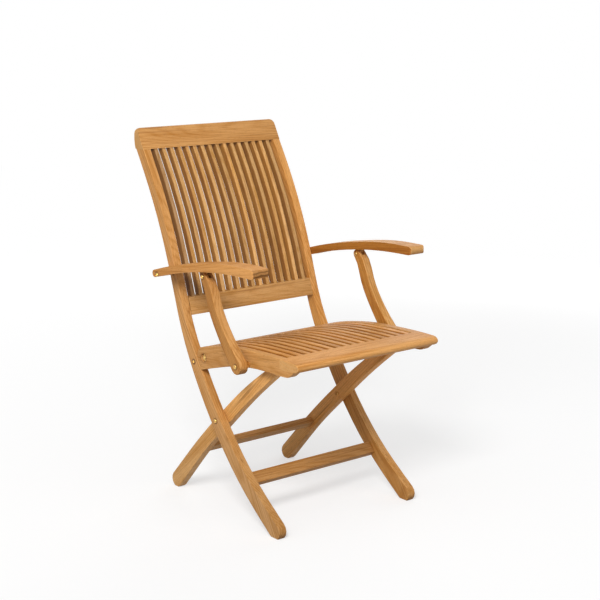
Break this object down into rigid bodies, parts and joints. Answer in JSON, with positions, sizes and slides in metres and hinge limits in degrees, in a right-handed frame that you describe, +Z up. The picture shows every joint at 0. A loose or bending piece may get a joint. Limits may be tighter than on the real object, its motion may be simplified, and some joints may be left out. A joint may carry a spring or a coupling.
{
  "type": "folding dining armchair",
  "caption": "Folding wooden armchair with a tall slatted back, slatted seat, crossed legs and bowed arms on curved supports.",
  "frame": {"origin": "the middle of the bounding box on the floor, with the chair open", "axes": "+Z up; -Y the way the sitter faces; +X to the right as seen from in front of the chair"},
  "size_m": [0.5632, 0.7114, 0.994],
  "materials": {
    "teak": "sanded, unvarnished",
    "brass": "dull polished"
  },
  "bodies": {
    "back_frame": {"stile_left": "teak", "stile_right": "teak", "crest_rail": "teak", "lower_back_rail": "teak", "back_slat_01": "teak", "back_slat_02": "teak", "back_slat_03": "teak", "back_slat_04": "teak", "back_slat_05": "teak", "back_slat_06": "teak", "back_slat_07": "teak", "back_slat_08": "teak", "back_slat_09": "teak", "back_slat_10": "teak", "back_slat_11": "teak", "back_slat_12": "teak", "back_slat_13": "teak", "back_slat_14": "teak", "back_slat_15": "teak", "back_slat_16": "teak", "front_stretcher": "teak", "seat_hinge_left": "brass", "seat_hinge_right": "brass", "arm_pivot_bolt_left": "brass", "arm_pivot_bolt_right": "brass", "leg_cross_bolt_left": "brass", "leg_cross_bolt_right": "brass"},
    "seat": {"seat_side_rail_left": "teak", "seat_side_rail_right": "teak", "seat_front_rail": "teak", "seat_rear_rail": "teak", "seat_slat_01": "teak", "seat_slat_02": "teak", "seat_slat_03": "teak", "seat_slat_04": "teak", "seat_slat_05": "teak", "seat_slat_06": "teak", "seat_slat_07": "teak", "seat_slat_08": "teak", "seat_slat_09": "teak", "seat_slat_10": "teak", "seat_slat_11": "teak", "seat_slat_12": "teak", "seat_slat_13": "teak", "seat_slat_14": "teak", "seat_slat_15": "teak", "seat_slat_16": "teak", "support_foot_bolt_left": "brass", "support_foot_bolt_right": "brass"},
    "rear_legs": {"rear_leg_left": "teak", "rear_leg_right": "teak", "rear_stretcher": "teak", "leg_top_bar": "teak"},
    "arm_left": {"arm_left": "teak", "support_top_bolt_left": "brass"},
    "arm_right": {"arm_right": "teak", "support_top_bolt_right": "brass"},
    "support_left": {"arm_support_left": "teak"},
    "support_right": {"arm_support_right": "teak"}
  },
  "joints": [
    {"name": "seat_fold", "type": "hinge", "parent": "back_frame", "child": "seat", "pos_m": [0, 0.04742, 0.4106], "axis": [-1, 0, 0], "range_deg": [0, 104]},
    {"name": "leg_fold", "type": "hinge", "parent": "back_frame", "child": "rear_legs", "pos_m": [0, -0.00029, 0.2498], "axis": [-1, 0, 0], "range_deg": [0, 62.4]},
    {"name": "arm_fold_left", "type": "hinge", "parent": "back_frame", "child": "arm_left", "pos_m": [-0.2551, 0.18394, 0.6196], "axis": [-1, 0, 0], "range_deg": [0, 104]},
    {"name": "support_fold_left", "type": "hinge", "parent": "arm_left", "child": "support_left", "pos_m": [-0.2551, -0.01346, 0.6401], "axis": [-1, 0, 0], "range_deg": [-104, 0]},
    {"name": "arm_fold_right", "type": "hinge", "parent": "back_frame", "child": "arm_right", "pos_m": [0.2551, 0.18394, 0.6196], "axis": [-1, 0, 0], "range_deg": [0, 104]},
    {"name": "support_fold_right", "type": "hinge", "parent": "arm_right", "child": "support_right", "pos_m": [0.2551, -0.01346, 0.6401], "axis": [-1, 0, 0], "range_deg": [-104, 0]}
  ],
  "couplings": [
    {"joint": "leg_fold", "follows": "seat_fold", "ratio": 0.6},
    {"joint": "arm_fold_left", "follows": "seat_fold", "ratio": 1},
    {"joint": "support_fold_left", "follows": "seat_fold", "ratio": -1},
    {"joint": "arm_fold_right", "follows": "seat_fold", "ratio": 1},
    {"joint": "support_fold_right", "follows": "seat_fold", "ratio": -1}
  ]
}
